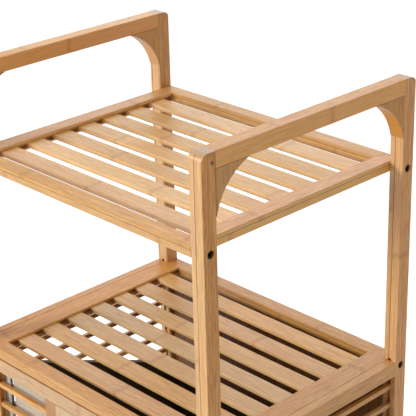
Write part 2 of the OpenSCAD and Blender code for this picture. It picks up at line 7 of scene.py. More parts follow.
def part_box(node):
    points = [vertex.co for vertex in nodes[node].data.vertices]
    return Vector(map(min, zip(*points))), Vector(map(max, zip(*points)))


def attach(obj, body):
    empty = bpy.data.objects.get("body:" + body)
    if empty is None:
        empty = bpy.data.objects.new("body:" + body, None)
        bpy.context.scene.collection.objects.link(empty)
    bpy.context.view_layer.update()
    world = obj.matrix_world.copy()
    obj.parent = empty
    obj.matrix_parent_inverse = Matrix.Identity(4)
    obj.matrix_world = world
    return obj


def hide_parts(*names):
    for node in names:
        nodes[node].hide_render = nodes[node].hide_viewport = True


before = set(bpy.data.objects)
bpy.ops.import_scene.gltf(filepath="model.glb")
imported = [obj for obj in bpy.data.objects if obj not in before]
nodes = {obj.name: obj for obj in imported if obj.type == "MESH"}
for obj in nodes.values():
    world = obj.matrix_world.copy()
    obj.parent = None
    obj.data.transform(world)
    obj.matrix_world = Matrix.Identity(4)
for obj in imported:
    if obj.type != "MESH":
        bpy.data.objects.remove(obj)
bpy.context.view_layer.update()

corners = {"fl": (-1, -1), "fr": (1, -1), "bl": (-1, 1), "br": (1, 1)}   # left or right, front or back


def toLinear(hexColour):
    # sRGB hex to the linear RGBA that shaders take
    channels = [int(hexColour[i:i + 2], 16) / 255 for i in (1, 3, 5)]
    return tuple(c / 12.92 if c <= 0.04045 else ((c + 0.055) / 1.055) ** 2.4 for c in channels) + (1.0,)


def addNode(tree, kind, settings=None, inputs=()):
    # one node, with its settings, values and links; a node given as a value stands for its first output
    made = tree.nodes.new(kind)
    for name, value in (settings or {}).items():
        setattr(made, name, value)
    for key, value in (inputs.items() if isinstance(inputs, dict) else enumerate(inputs)):
        if isinstance(value, bpy.types.Node):
            value = value.outputs[0]
        if isinstance(value, bpy.types.NodeSocket):
            tree.links.new(value, made.inputs[key])
        else:
            made.inputs[key].default_value = value
    return made


smoothly = {"interpolation_type": "SMOOTHSTEP"}


def newMaterial(name):
    material = bpy.data.materials.new(name)
    material.use_nodes = True
    return material, material.node_tree, material.node_tree.nodes["Principled BSDF"]


def dress(material, *names):
    for name in names:
        slots = nodes[name].data.materials
        slots.clear()
        slots.append(material)


def meshPiece(name, verts, faces, material, body, smooth=True):
    # a new piece in the cart's own frame, riding on a body
    mesh = bpy.data.meshes.new(name)
    mesh.from_pydata(verts, [], faces)
    mesh.validate()
    mesh.materials.append(material)
    mesh.polygons.foreach_set("use_smooth", [smooth] * len(mesh.polygons))
    piece = bpy.data.objects.new(name, mesh)
    bpy.context.scene.collection.objects.link(piece)
    if body:
        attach(piece, body)
    return piece


def bake(piece):
    # modifiers into a plain mesh
    graph = bpy.context.evaluated_depsgraph_get()
    mesh = bpy.data.meshes.new_from_object(piece.evaluated_get(graph))
    piece.modifiers.clear()
    piece.data = mesh


def smoothStep(a, b, x):
    t = min(1.0, max(0.0, (x - a) / (b - a)))
    return t * t * (3 - 2 * t)


camera = {"lens": 119.35, "azimuth": 46.52, "elevation": 23.51, "roll": -1.52,
          "place": (1.1731, -1.0664, 1.4587)}


def makeCamera(cfg):
    azimuth, elevation = math.radians(cfg["azimuth"]), math.radians(cfg["elevation"])
    back = Vector((math.sin(azimuth) * math.cos(elevation), -math.cos(azimuth) * math.cos(elevation),
                   math.sin(elevation)))
    data = bpy.data.cameras.new("camera")
    data.lens = cfg["lens"]
    made = bpy.data.objects.new("camera", data)
    bpy.context.scene.collection.objects.link(made)
    turn = (-back).to_track_quat("-Z", "Y").to_matrix() @ Matrix.Rotation(math.radians(cfg["roll"]), 3, "Z")
    made.matrix_world = Matrix.Translation(cfg["place"]) @ turn.to_4x4()
    bpy.context.scene.camera = made


studio = {
    "worldFill": 0.60, "frontFill": 0.16,   # white walls at the sides and back, a dark one at the front
    "floorColour": "#d2d1cf", "floorGlow": 0.70, "floorBounce": 0.20, "floorHalf": 30.0,
    "lamps": [
        # name, place, aim, size in metres, watts, colour
        ("keySoftbox", (-1.25, -2.7, 1.62), (0, 0, 0.6), 1.0, 80, "#f3f8ff"),
        ("topSoftbox", (-0.3, -0.2, 3.1), (0, 0, 0.5), 1.6, 18, "#ffffff"),
        ("rearSoftbox", (-1.9, 2.0, 1.9), (0, 0, 0.7), 1.5, 8, "#ffffff"),
    ],
}


def makeStudio(cfg):
    scene = bpy.context.scene
    scene.view_settings.view_transform = "Standard"
    world = bpy.data.worlds.new("studio")
    world.use_nodes = True
    tree = world.node_tree
    sky = addNode(tree, "ShaderNodeTexCoord")
    side = addNode(tree, "ShaderNodeSeparateXYZ", None, (sky.outputs["Generated"],))
    fill = addNode(tree, "ShaderNodeMapRange", smoothly,
                   (side.outputs[1], -0.85, 0.15, cfg["frontFill"], cfg["worldFill"]))
    seen = addNode(tree, "ShaderNodeLightPath")
    level = addNode(tree, "ShaderNodeMix", {"data_type": "FLOAT"},
                    {0: seen.outputs["Is Camera Ray"], 2: fill, 3: 1.0})
    tree.nodes["Background"].inputs["Color"].default_value = toLinear("#fefdfd")
    tree.links.new(level.outputs[0], tree.nodes["Background"].inputs["Strength"])
    scene.world = world
    paper, tree, shader = newMaterial("seamlessPaper")   # matt white paper, lifted to clean white
    shader.inputs["Base Color"].default_value = toLinear(cfg["floorColour"])
    shader.inputs["Roughness"].default_value = 0.9
    shader.inputs["Specular IOR Level"].default_value = 0.1
    shader.inputs["Emission Color"].default_value = (1, 1, 1, 1)
    seenFloor = addNode(tree, "ShaderNodeLightPath")
    glow = addNode(tree, "ShaderNodeMix", {"data_type": "FLOAT"},
                   {0: seenFloor.outputs["Is Camera Ray"], 2: cfg["floorBounce"], 3: cfg["floorGlow"]})
    tree.links.new(glow.outputs[0], shader.inputs["Emission Strength"])
    h = cfg["floorHalf"]
    floor = meshPiece("floor", [(-h, -h, 0), (h, -h, 0), (h, h, 0), (-h, h, 0)], [(0, 1, 2, 3)], paper, None)
    for name, place, aim, size, watts, colour in cfg["lamps"]:
        lamp = bpy.data.lights.new(name, "AREA")
        lamp.size = size
        lamp.energy = watts
        lamp.color = toLinear(colour)[:3]
        made = bpy.data.objects.new(name, lamp)
        scene.collection.objects.link(made)
        made.matrix_world = Matrix.Translation(place) @ (
            (Vector(aim) - Vector(place)).to_track_quat("-Z", "Y").to_matrix().to_4x4())


makeCamera(camera)
makeStudio(studio)
print("camera and studio ready")


def makeBamboo(name, cfg):
    # bamboo: split strips glued side by side, planed, and given a satin lacquer. The eye gets straight fibre
    # streaks, a tone of its own on each strip, rings of short arcs where the cane had its nodes, thin dark
    # glue lines, and dotted fibre ends on the end grain. Sizes are in millimetres
    material, tree, shader = newMaterial(name)
    coords = addNode(tree, "ShaderNodeTexCoord")
    place = addNode(tree, "ShaderNodeVectorMath", {"operation": "MULTIPLY"},
                    (coords.outputs["Object"], (1000, 1000, 1000)))
    apart = addNode(tree, "ShaderNodeSeparateXYZ", None, (place,))
    facing = addNode(tree, "ShaderNodeSeparateXYZ", None, (coords.outputs["Normal"],))
    order = {"X": (0, 1, 2), "Y": (1, 0, 2), "Z": (2, 0, 1)}[cfg["grain"]]
    along, across, depth = [apart.outputs[i] for i in order]
    lined = addNode(tree, "ShaderNodeCombineXYZ", None, (along, across, depth))
    masks = []
    # the second mask picks the faces that take the tint of edge grain and painted light
    for axis, low, high in ((order[0], 0.6, 0.85), (order[cfg["edgeAxis"]], 0.5, 0.9)):
        turned = addNode(tree, "ShaderNodeMath", {"operation": "ABSOLUTE"}, (facing.outputs[axis],))
        masks.append(addNode(tree, "ShaderNodeMapRange", smoothly, (turned, low, high)))
    endFace, grainAndLightFace = masks

    # which piece of wood, and which strip in it
    shifted = addNode(tree, "ShaderNodeVectorMath", {"operation": "ADD"}, (place, cfg["shift"]))
    counted = addNode(tree, "ShaderNodeVectorMath", {"operation": "DIVIDE"}, (shifted, cfg["cell"]))
    cell = addNode(tree, "ShaderNodeVectorMath", {"operation": "FLOOR"}, (counted,))
    beside = addNode(tree, "ShaderNodeMath", {"operation": "ADD"},
                     ((across, depth)[cfg["stripAxis"]], cfg["stripShift"]))
    stripPlace = addNode(tree, "ShaderNodeMath", {"operation": "DIVIDE"}, (beside, cfg["strip"]))
    stripStep = addNode(tree, "ShaderNodeMath", {"operation": "FLOOR"}, (stripPlace,))
    stripSpread = addNode(tree, "ShaderNodeMath", {"operation": "MULTIPLY"}, (stripStep, 7.31))
    stripKey = addNode(tree, "ShaderNodeCombineXYZ", None, (stripSpread, stripStep, cfg["seed"]))
    rolls = []
    for key in (stripKey, (0.5, 0.25, cfg["seed"])):
        keyed = addNode(tree, "ShaderNodeVectorMath", {"operation": "ADD"}, (cell, key))
        dice = addNode(tree, "ShaderNodeTexWhiteNoise", {"noise_dimensions": "3D"}, {"Vector": keyed})
        rolls.append((dice.outputs["Value"],
                      addNode(tree, "ShaderNodeSeparateColor", None, (dice.outputs["Color"],)).outputs))
    (stripRoll, stripChance), (_, pieceChance) = rolls

    # streaks: broad ones, fibre bundles 1.2 mm wide, and pores drawn 0.7 mm wide, since real ones are too
    # fine to show; the last noise only bends the node rings
    slide = addNode(tree, "ShaderNodeMath", {"operation": "MULTIPLY"}, (stripRoll, 90.0))
    slideAlong = addNode(tree, "ShaderNodeCombineXYZ", None, (slide, 0.0, 0.0))
    slideDeep = addNode(tree, "ShaderNodeCombineXYZ", None, (0.0, 0.0, slide))
    noises = []
    for length, width, slid, detail, rough in (
            (0.004, cfg["stripe"], slideAlong, 2.0, 0.55), (0.02, 0.85, slideAlong, 3.0, 0.65),
            (0.06, 1.5, slideAlong, 1.0, 0.55), (0.01, 0.22, slideDeep, 1.0, 0.55)):
        drawn = addNode(tree, "ShaderNodeVectorMath", {"operation": "MULTIPLY_ADD"},
                        (lined, (length, width, width), slid))
        noises.append(addNode(tree, "ShaderNodeTexNoise", {"noise_dimensions": "3D"},
                              {"Vector": drawn, "Scale": 1.0, "Detail": detail, "Roughness": rough}))
    broad, fibre, pore, wave = noises

    # node rings, wavy across the strip: arcs 3.3 mm apart, fading 6.5 mm from the ring's middle
    pitched = addNode(tree, "ShaderNodeMath", {"operation": "DIVIDE"}, (along, cfg["nodePitch"]))
    started = addNode(tree, "ShaderNodeMath", {"operation": "ADD"}, (stripChance[0], cfg["nodeShift"]))
    turn = addNode(tree, "ShaderNodeMath", {"operation": "ADD"}, (pitched, started))
    share = addNode(tree, "ShaderNodeMath", {"operation": "FRACT"}, (turn,))
    centred = addNode(tree, "ShaderNodeMath", {"operation": "SUBTRACT"}, (share, 0.5))
    straight = addNode(tree, "ShaderNodeMath", {"operation": "MULTIPLY"}, (centred, cfg["nodePitch"]))
    sway = addNode(tree, "ShaderNodeMath", {"operation": "SUBTRACT"}, (wave, 0.5))
    fromRing = addNode(tree, "ShaderNodeMath", {"operation": "MULTIPLY_ADD"}, (sway, 11.0, straight))
    ringSpan = addNode(tree, "ShaderNodeMath", {"operation": "ABSOLUTE"}, (fromRing,))
    ringNear = addNode(tree, "ShaderNodeMapRange", smoothly, (ringSpan, 6.5, 0.5))
    phase = addNode(tree, "ShaderNodeMath", {"operation": "MULTIPLY"}, (fromRing, 1.9))
    swing = addNode(tree, "ShaderNodeMath", {"operation": "SINE"}, (phase,))
    arcs = addNode(tree, "ShaderNodeMapRange", smoothly, (swing, -1.0, 0.7, 0.45, 1.0))
    fibreGap = addNode(tree, "ShaderNodeMapRange", smoothly, (fibre, 0.32, 0.62, 0.35, 1.0))
    arched = addNode(tree, "ShaderNodeMath", {"operation": "MULTIPLY"}, (ringNear, arcs))
    ring = addNode(tree, "ShaderNodeMath", {"operation": "MULTIPLY"}, (arched, fibreGap))

    # glue line between strips, fainter in places
    bounce = addNode(tree, "ShaderNodeMath", {"operation": "PINGPONG"}, (stripPlace, 0.5))
    fromGlue = addNode(tree, "ShaderNodeMath", {"operation": "MULTIPLY"}, (bounce, cfg["strip"]))
    glueNear = addNode(tree, "ShaderNodeMapRange", smoothly,
                       (fromGlue, cfg["glueHalf"], 0.15, 0.0, cfg["glue"]))
    gluePatch = addNode(tree, "ShaderNodeMapRange", smoothly, (wave, 0.3, 0.5, 0.6, 1.0))
    glue = addNode(tree, "ShaderNodeMath", {"operation": "MULTIPLY"}, (glueNear, gluePatch))

    # wood colour: dark to light by the fine streaks, warmed by the broad ones
    poreShare = addNode(tree, "ShaderNodeMath", {"operation": "MULTIPLY"}, (pore, 0.42))
    streak = addNode(tree, "ShaderNodeMath", {"operation": "MULTIPLY_ADD"}, (fibre, 0.58, poreShare))
    lightness = addNode(tree, "ShaderNodeMapRange", smoothly, (streak, 0.34, 0.62))
    grained = addNode(tree, "ShaderNodeMix", {"data_type": "RGBA"},
                      {0: lightness, 6: toLinear(cfg["dark"]), 7: toLinear(cfg["light"])})
    warmth = addNode(tree, "ShaderNodeMapRange", smoothly, (broad, 0.42, 0.68, 0.0, cfg["warmth"]))
    warmed = addNode(tree, "ShaderNodeMix", {"data_type": "RGBA"},
                     {0: warmth, 6: grained.outputs[2], 7: toLinear(cfg["warm"])})
    pieceTone = addNode(tree, "ShaderNodeMapRange", None,
                        (pieceChance[1], 0, 1, 1 - cfg["pieceTone"] / 2, 1 + cfg["pieceTone"] / 2))
    stripTone = addNode(tree, "ShaderNodeMapRange", None,
                        (stripChance[1], 0, 1, -cfg["stripTone"] / 2, cfg["stripTone"] / 2))
    tone = addNode(tree, "ShaderNodeMath", {"operation": "ADD"}, (stripTone, pieceTone))
    hue = addNode(tree, "ShaderNodeMapRange", None, (pieceChance[2], 0, 1, 0.496, 0.503))
    saturation = addNode(tree, "ShaderNodeMapRange", None, (stripChance[2], 0, 1, 0.94, 1.06))
    toned = addNode(tree, "ShaderNodeHueSaturation", None,
                    {"Hue": hue, "Saturation": saturation, "Value": tone, "Color": warmed.outputs[2]})
    colour = toned.outputs[0]

    # over it, in turn: a tint on the faces turned along the chosen axis, partly the edge grain's own colour
    # and partly painted light that makes those faces paler or more orange for how light falls on them; then
    # the rings and the glue
    for mask, share, tint, blend in ((grainAndLightFace, cfg["edge"], cfg["edgeTint"], "MIX"),
                                     (ring, cfg["ring"], "#b98f72", "MULTIPLY"),
                                     (glue, 1.0, "#8a5a35", "MULTIPLY")):
        cover = addNode(tree, "ShaderNodeMath", {"operation": "MULTIPLY"}, (mask, share))
        colour = addNode(tree, "ShaderNodeMix", {"data_type": "RGBA", "blend_type": blend},
                         {0: cover, 6: colour, 7: toLinear(tint)}).outputs[2]

    # a healed bud or a nick, dark at its middle
    for spot, reach in cfg["marks"]:
        off = addNode(tree, "ShaderNodeVectorMath", {"operation": "SUBTRACT"}, (place, spot))
        scaled = addNode(tree, "ShaderNodeVectorMath", {"operation": "DIVIDE"}, (off, reach))
        away = addNode(tree, "ShaderNodeVectorMath", {"operation": "LENGTH"}, (scaled,))
        near = addNode(tree, "ShaderNodeMapRange", smoothly, (away.outputs["Value"], 1.0, 0.5, 0.0, 0.85))
        colour = addNode(tree, "ShaderNodeMix", {"data_type": "RGBA"},
                         {0: near, 6: colour, 7: toLinear("#4c2c18")}).outputs[2]

    # end grain: bundles cut across, dark dots 0.9 mm apart in greyer wood
    dotted = addNode(tree, "ShaderNodeVectorMath", {"operation": "MULTIPLY"}, (lined, (0.05, 1.1, 1.1)))
    dots = addNode(tree, "ShaderNodeTexVoronoi", {"feature": "F1"},
                   {"Vector": dotted, "Scale": 1.0, "Randomness": 1.0})
    dot = addNode(tree, "ShaderNodeMapRange", smoothly, (dots.outputs["Distance"], 0.45, 0.2, 0.0, 0.75))
    cut = addNode(tree, "ShaderNodeMix", {"data_type": "RGBA"},
                  {0: dot, 6: toLinear("#c4a17c"), 7: toLinear("#80604a")})
    finished = addNode(tree, "ShaderNodeMix", {"data_type": "RGBA"},
                       {0: endFace, 6: colour, 7: cut.outputs[2]})

    # relief: fibres and pores proud, rings prouder, glue lines sunk
    height = 0.0
    for source, size in ((fibre, 0.035), (pore, 0.02), (ring, 0.10), (glue, -0.12)):
        height = addNode(tree, "ShaderNodeMath", {"operation": "MULTIPLY_ADD"}, (source, size, height))
    bump = addNode(tree, "ShaderNodeBump", None, {"Strength": 0.6, "Distance": 0.001, "Height": height})
    rough = addNode(tree, "ShaderNodeMapRange", None,
                    (streak, 0.2, 0.8, cfg["rough"] + 0.08, cfg["rough"] - 0.06))
    tree.links.new(finished.outputs[2], shader.inputs["Base Color"])
    tree.links.new(bump.outputs[0], shader.inputs["Normal"])
    tree.links.new(rough.outputs[0], shader.inputs["Roughness"])
    shader.inputs["IOR"].default_value = 1.5
    shader.inputs["Coat Weight"].default_value = cfg["lacquer"]
    shader.inputs["Coat Roughness"].default_value = 0.28
    return material


def bamboo(**changes):
    # the settings that all cuts share, with this cut's changes
    base = {
        "light": "#e2ad66", "dark": "#b37535", "warm": "#d08f49",
        "grain": "X", "cell": (10000, 10000, 10000), "shift": (5000, 5000, 5000), "seed": 0.0,
        "strip": 400.0, "stripAxis": 0, "stripShift": 200.0, "stripTone": 0.16, "pieceTone": 0.12,
        "glue": 0.9, "glueHalf": 0.55, "nodePitch": 260.0, "nodeShift": 0.0, "ring": 0.5,
        "edgeAxis": 1, "edge": 0.0, "edgeTint": "#efcf9c", "stripe": 0.14, "warmth": 0.55, "marks": [],
        "rough": 0.42, "lacquer": 0.35,
    }
    base.update(changes)
    return base


slatPitch = 41.786   # shelf slats, millimetres from middle to middle
# the face tint some cuts get below is partly the edge grain's colour and partly painted light on faces turned
# one way
bambooKinds = {
    # posts: two strips, the glue line two fifths of the way across the front face
    "bambooPost": bamboo(grain="Z", cell=(450, 350, 5000), shift=(450, 350, 0), seed=1.7, strip=14.0,
                         stripShift=-213.0, edgeAxis=2, edge=0.32, edgeTint="#e0c08d", nodePitch=330.0,
                         light="#eeb369", dark="#bb7a38", warm="#cf8541", stripe=0.27, warmth=0.62,
                         glueHalf=0.95,
                         marks=[((225, -160, 938), (3, 3, 3)), ((213, -175, 836), (0.8, 3, 7))]),
    "bambooHandle": bamboo(grain="Y", cell=(450, 5000, 60), shift=(450, 2500, 10), seed=3.1,
                           nodePitch=290.0, nodeShift=0.37, edge=0.52, edgeTint="#fab05a"),
    "bambooSideRail": bamboo(grain="Y", cell=(450, 5000, 60), shift=(450, 2500, 10), seed=3.1,
                             nodePitch=290.0, nodeShift=0.37, edge=0.1, edgeTint="#fab05a"),
    # shelf frames: two layers, one over the other
    "bambooShelfSide": bamboo(grain="Y", cell=(450, 5000, 60), shift=(450, 2500, 20), seed=4.4, strip=9.0,
                              stripAxis=1, stripShift=-838.0, nodePitch=310.0, edge=0.6, edgeTint="#f4bf6a"),
    "bambooShelfEnd": bamboo(grain="X", cell=(5000, 350, 60), shift=(2500, 350, 20), seed=5.2, strip=9.0,
                             stripAxis=1, stripShift=-838.0, nodePitch=280.0, edge=0.3, edgeTint="#c4964f"),
    # slats: a cell for each, so that each has its own tone
    "bambooSlat": bamboo(grain="X", cell=(5000, slatPitch, 200),
                         shift=(2500, 5000 + slatPitch / 2 - 5000 % slatPitch, 30), seed=6.9,
                         nodePitch=270.0, edge=0.4, edgeTint="#eabf86", light="#e6b877",
                         dark="#bf884c", warm="#d39e5e", pieceTone=0.14),
    "bambooSideSlat": bamboo(grain="Y", cell=(450, 5000, 27.5), shift=(450, 2500, 5), seed=8.3,
                             nodePitch=240.0, pieceTone=0.2),
    "bambooFrontSlat": bamboo(grain="X", cell=(5000, 5000, 30), shift=(2500, 2500, 15), seed=9.1,
                              nodePitch=230.0, pieceTone=0.16),
    # the tilting front: greyer rails, browner inner uprights, a pale board
    "bambooFrontRail": bamboo(grain="X", cell=(5000, 5000, 200), shift=(2500, 2500, 0), seed=10.6,
                              nodePitch=250.0, light="#c79f6a", dark="#a67a47", warm="#bb905b"),
    "bambooUpright": bamboo(grain="Z", cell=(200, 5000, 5000), shift=(5000, 2500, 0), seed=12.4,
                            nodePitch=340.0, light="#c0874a", dark="#96602c", warm="#ae7439"),
    "bambooStile": bamboo(grain="Z", cell=(400, 5000, 5000), shift=(400, 2500, 0), seed=13.9,
                          nodePitch=300.0),
    "bambooPaleBoard": bamboo(grain="Z", cell=(5000, 5000, 5000), seed=14.2, strip=21.0, stripShift=2110.0,
                              nodePitch=330.0, light="#d0b083", dark="#b8925f", warm="#c6a374", glue=0.25,
                              stripTone=0.08),
    "bambooBracket": bamboo(grain="Z", cell=(450, 350, 5000), shift=(450, 350, 0), seed=11.8,
                            nodePitch=900.0, light="#d39f5a", dark="#a8702f", edgeAxis=2),
    "bambooPly": bamboo(grain="Z", cell=(5000, 5000, 5000), seed=15.7, strip=17.0, stripShift=1710.0,
                        nodePitch=310.0, light="#9a683a", dark="#774a26", warm="#8a5a30", rough=0.5,
                        lacquer=0.15),
    "bambooBaseBoard": bamboo(grain="X", cell=(5000, 5000, 5000), seed=16.3, strip=17.0, stripShift=1710.0,
                              nodePitch=310.0, light="#d9b27b", dark="#c1925a", warm="#cda06a"),
}
shelves = ("upper", "middle")
bambooNodes = {
    "bambooPost": [f"post_{end}_{side}" for end in ("front", "back") for side in ("left", "right")],
    "bambooHandle": ["handle_rail_left", "handle_rail_right"],
    "bambooSideRail": ["side_middle_rail_left", "side_middle_rail_right", "side_bottom_rails"],
    "bambooShelfSide": [f"{shelf}_{side}_rail" for shelf in shelves for side in ("left", "right")],
    "bambooShelfEnd": [f"{shelf}_{end}_rail" for shelf in (*shelves, "base") for end in ("front", "back")],
    "bambooSlat": ["upper_slats", "middle_slats"],
    "bambooSideSlat": ["side_slats_left", "side_slats_right", "stop_blocks"],
    "bambooFrontSlat": ["front_slats_left", "front_slats_right"],
    "bambooFrontRail": ["front_top_rail", "front_bottom_rail"],
    "bambooUpright": ["front_mullions"],
    "bambooStile": ["front_stiles", "dowels"],
    "bambooPaleBoard": ["centre_board"],
    "bambooBracket": ["handle_brackets"],
    "bambooPly": ["back_panel"],
    "bambooBaseBoard": ["base_board"],
}
for kind, cfg in bambooKinds.items():
    dress(makeBamboo(kind, cfg), *bambooNodes[kind])
print("bamboo done:", len(bambooKinds), "cuts")


def finishPlain(name, cfg, relief, metallic):
    # an even surface: a slow cloudy change of tint and gloss, and a fine relief
    material, tree, shader = newMaterial(name)
    coords = addNode(tree, "ShaderNodeTexCoord")
    cloud = addNode(tree, "ShaderNodeTexNoise", None,
                    {"Vector": coords.outputs["Object"], "Scale": 1000 / cfg["cloud"],
                     "Detail": cfg["cloudDetail"]})
    grit = addNode(tree, "ShaderNodeTexNoise", None,
                   {"Vector": coords.outputs["Object"], "Scale": 1000 / cfg["grit"], "Detail": 2.0})
    tint = addNode(tree, "ShaderNodeMix", {"data_type": "RGBA"},
                   {0: cloud, 6: toLinear(cfg["dark"]), 7: toLinear(cfg["light"])})
    rough = addNode(tree, "ShaderNodeMapRange", None, (cloud, 0.3, 0.7, *cfg["rough"]))
    bump = addNode(tree, "ShaderNodeBump", None, {"Strength": relief, "Distance": 0.0001, "Height": grit})
    tree.links.new(tint.outputs[2], shader.inputs["Base Color"])
    tree.links.new(rough.outputs[0], shader.inputs["Roughness"])
    tree.links.new(bump.outputs[0], shader.inputs["Normal"])
    shader.inputs["Metallic"].default_value = metallic
    return material, shader


def makeMetal(name, cfg):
    # plated or blackened steel: drawn smooth, so it mirrors softly, with faint cloudy patches
    material, _ = finishPlain(name, cfg, 0.15, 1.0)
    return material


def makeMoulded(name, cfg):
    # moulded plastic or rubber: a fine eroded texture and a dull, slightly uneven gloss
    material, shader = finishPlain(name, cfg, 0.35, 0.0)
    shader.inputs["IOR"].default_value = cfg["ior"]
    return material


# clouds and grit in millimetres, roughness from the glossier to the duller patches
zincSteel = makeMetal("zincPlatedSteel", {
    "light": "#c3c6cb", "dark": "#a3a7ad", "rough": (0.26, 0.40),
    "cloud": 11.11, "cloudDetail": 4, "grit": 0.333})
darkSteel = makeMetal("blackOxideSteel", {
    "light": "#4a3222", "dark": "#2c1d13", "rough": (0.40, 0.54),
    "cloud": 8.333, "cloudDetail": 4, "grit": 0.333})
nylon = makeMoulded("greyNylon", {
    "light": "#5f6265", "dark": "#505356", "rough": (0.43, 0.55),
    "cloud": 16.67, "cloudDetail": 5, "grit": 0.35, "ior": 1.53})
rubber = makeMoulded("greySoftRubber", {
    "light": "#8d9092", "dark": "#7b7e80", "rough": (0.57, 0.69),
    "cloud": 16.67, "cloudDetail": 5, "grit": 0.5, "ior": 1.52})
dress(darkSteel, "connector_bolts")
dress(zincSteel, "barrel_nuts", "pivot_pins", "caster_stems", "liner_rim")
dress(nylon, "brake_pedal_fl", "brake_pedal_fr")
for corner in corners:
    dress(zincSteel, f"caster_axle_{corner}")
    dress(nylon, f"caster_fork_{corner}", f"wheel_hub_{corner}")
    dress(rubber, f"wheel_tyre_{corner}")
print("metal, plastic and rubber done")


def makeCloth(name, cfg):
    # plain weave: threads that pass over and under each other, thicker in places, so the cloth looks matt,
    # softly checked and a little streaked both ways. The check is painted shade: each thread is coloured
    # lighter at its crown and darker where it dips beside its neighbour. Its threads are drawn two to three
    # times too thick, since real ones are too fine to show
    material, tree, shader = newMaterial(name)
    uv = addNode(tree, "ShaderNodeUVMap", {"uv_map": "cut"})   # metres along and down the cloth
    threads = addNode(tree, "ShaderNodeVectorMath", {"operation": "SCALE"},
                      {0: uv, "Scale": 1000 / cfg["thread"]})
    apart = addNode(tree, "ShaderNodeSeparateXYZ", None, (threads,))
    humps = []
    steps = []
    for way in (0, 1):
        phase = addNode(tree, "ShaderNodeMath", {"operation": "MULTIPLY"}, (apart.outputs[way], math.pi))
        swing = addNode(tree, "ShaderNodeMath", {"operation": "SINE"}, (phase,))
        humps.append(addNode(tree, "ShaderNodeMath", {"operation": "ABSOLUTE"}, (swing,)))
        steps.append(addNode(tree, "ShaderNodeMath", {"operation": "FLOOR"}, (apart.outputs[way],)))
    count = addNode(tree, "ShaderNodeMath", {"operation": "ADD"}, (steps[0], steps[1]))
    odd = addNode(tree, "ShaderNodeMath", {"operation": "MODULO"}, (count, 2.0))
    under = addNode(tree, "ShaderNodeMath", {"operation": "ABSOLUTE"}, (odd,))
    over = addNode(tree, "ShaderNodeMix", {"data_type": "FLOAT"}, {0: under, 2: humps[0], 3: humps[1]})
    # painted shade from the thread humps, with the slubs' own tone added below
    weaveShadeAndSlub = addNode(tree, "ShaderNodeMath", {"operation": "MULTIPLY"}, (over, 0.35))
    for stretch in ((0.03, 0.7, 1.0), (0.7, 0.03, 1.0)):
        drawn = addNode(tree, "ShaderNodeVectorMath", {"operation": "MULTIPLY"}, (threads, stretch))
        slub = addNode(tree, "ShaderNodeTexNoise", {"noise_dimensions": "3D"},
                       {"Vector": drawn, "Scale": 1.0, "Detail": 3.0})
        weaveShadeAndSlub = addNode(tree, "ShaderNodeMath", {"operation": "MULTIPLY_ADD"}, (slub, 0.325, weaveShadeAndSlub))
    light = addNode(tree, "ShaderNodeMapRange", None, (weaveShadeAndSlub, 0.25, 0.75))
    tint = addNode(tree, "ShaderNodeMix", {"data_type": "RGBA"},
                   {0: light, 6: toLinear(cfg["dark"]), 7: toLinear(cfg["light"])})
    bump = addNode(tree, "ShaderNodeBump", None, {"Strength": 0.5, "Distance": 0.0003, "Height": over})
    tree.links.new(tint.outputs[2], shader.inputs["Base Color"])
    tree.links.new(bump.outputs[0], shader.inputs["Normal"])
    shader.inputs["Roughness"].default_value = 0.88
    shader.inputs["Sheen Weight"].default_value = cfg["sheen"]
    shader.inputs["Sheen Roughness"].default_value = 0.5
    return material


# thread widths in millimetres
linen = makeCloth("greigeLinen", {"light": "#dcd0b8", "dark": "#b8aa90", "thread": 0.9, "sheen": 0.15})
# the inner face: olive cloth drawn dark, partly as painted shade for the inside of the bag
darkLiningAndShade = makeCloth("oliveLiningPaintedShade", {"light": "#6b5d3c", "dark": "#4c4026", "thread": 0.7, "sheen": 0.0})
tape = makeCloth("paleCottonTape", {"light": "#dedcd3", "dark": "#bdbab0", "thread": 0.8, "sheen": 0.1})
thread = makeCloth("darkThread", {"light": "#6d655a", "dark": "#4c463d", "thread": 0.3, "sheen": 0.0})
# a cord for the seam beside the tape, drawn dark partly as painted shade along that seam
darkCordAndSeamShade = makeCloth("darkCordSeamShade", {"light": "#6a6456", "dark": "#4a453a", "thread": 0.5, "sheen": 0.0})
print("fabrics done")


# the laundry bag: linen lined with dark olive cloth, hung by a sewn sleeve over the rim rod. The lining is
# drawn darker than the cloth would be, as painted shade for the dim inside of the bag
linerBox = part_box("liner_bag")
liner = {
    "around": 420, "wallRows": 64, "floorRows": 20,
    "frontCorner": 0.006, "backCorner": 0.020,
    "foot": 0.009,            # soft round where walls meet floor
    "bow": 0.010, "frontBow": 0.005,   # walls drawn in at mid height
    "folds": 0.0034,          # hanging folds
    "cloth": 0.0013,
    "rodRadius": 0.0025, "rodOut": 0.0027, "rodBelowHem": 0.005,
    "rimSlope": 22.5,         # degrees, front to back
    "sleeve": 0.019,          # rod centre to sleeve seam
    "seed": 41,
}


def planPieces(low, high, cfg):
    # straight runs and corners round the bag from above, beginning at the front left
    f, b = cfg["frontCorner"], cfg["backCorner"]
    return [
        ("run", (low.x, low.y + f), (low.x, high.y - b), (-1, 0)),
        ("turn", (low.x + b, high.y - b), b, 180, 90),
        ("run", (low.x + b, high.y), (high.x - b, high.y), (0, 1)),
        ("turn", (high.x - b, high.y - b), b, 90, 0),
        ("run", (high.x, high.y - b), (high.x, low.y + f), (1, 0)),
        ("turn", (high.x - f, low.y + f), f, 0, -90),
        ("run", (high.x - f, low.y), (low.x + f, low.y), (0, -1)),
        ("turn", (low.x + f, low.y + f), f, -90, -180),
    ]


def planLength(piece):
    if piece[0] == "run":
        return (Vector(piece[2]) - Vector(piece[1])).length
    return piece[2] * math.radians(piece[3] - piece[4])


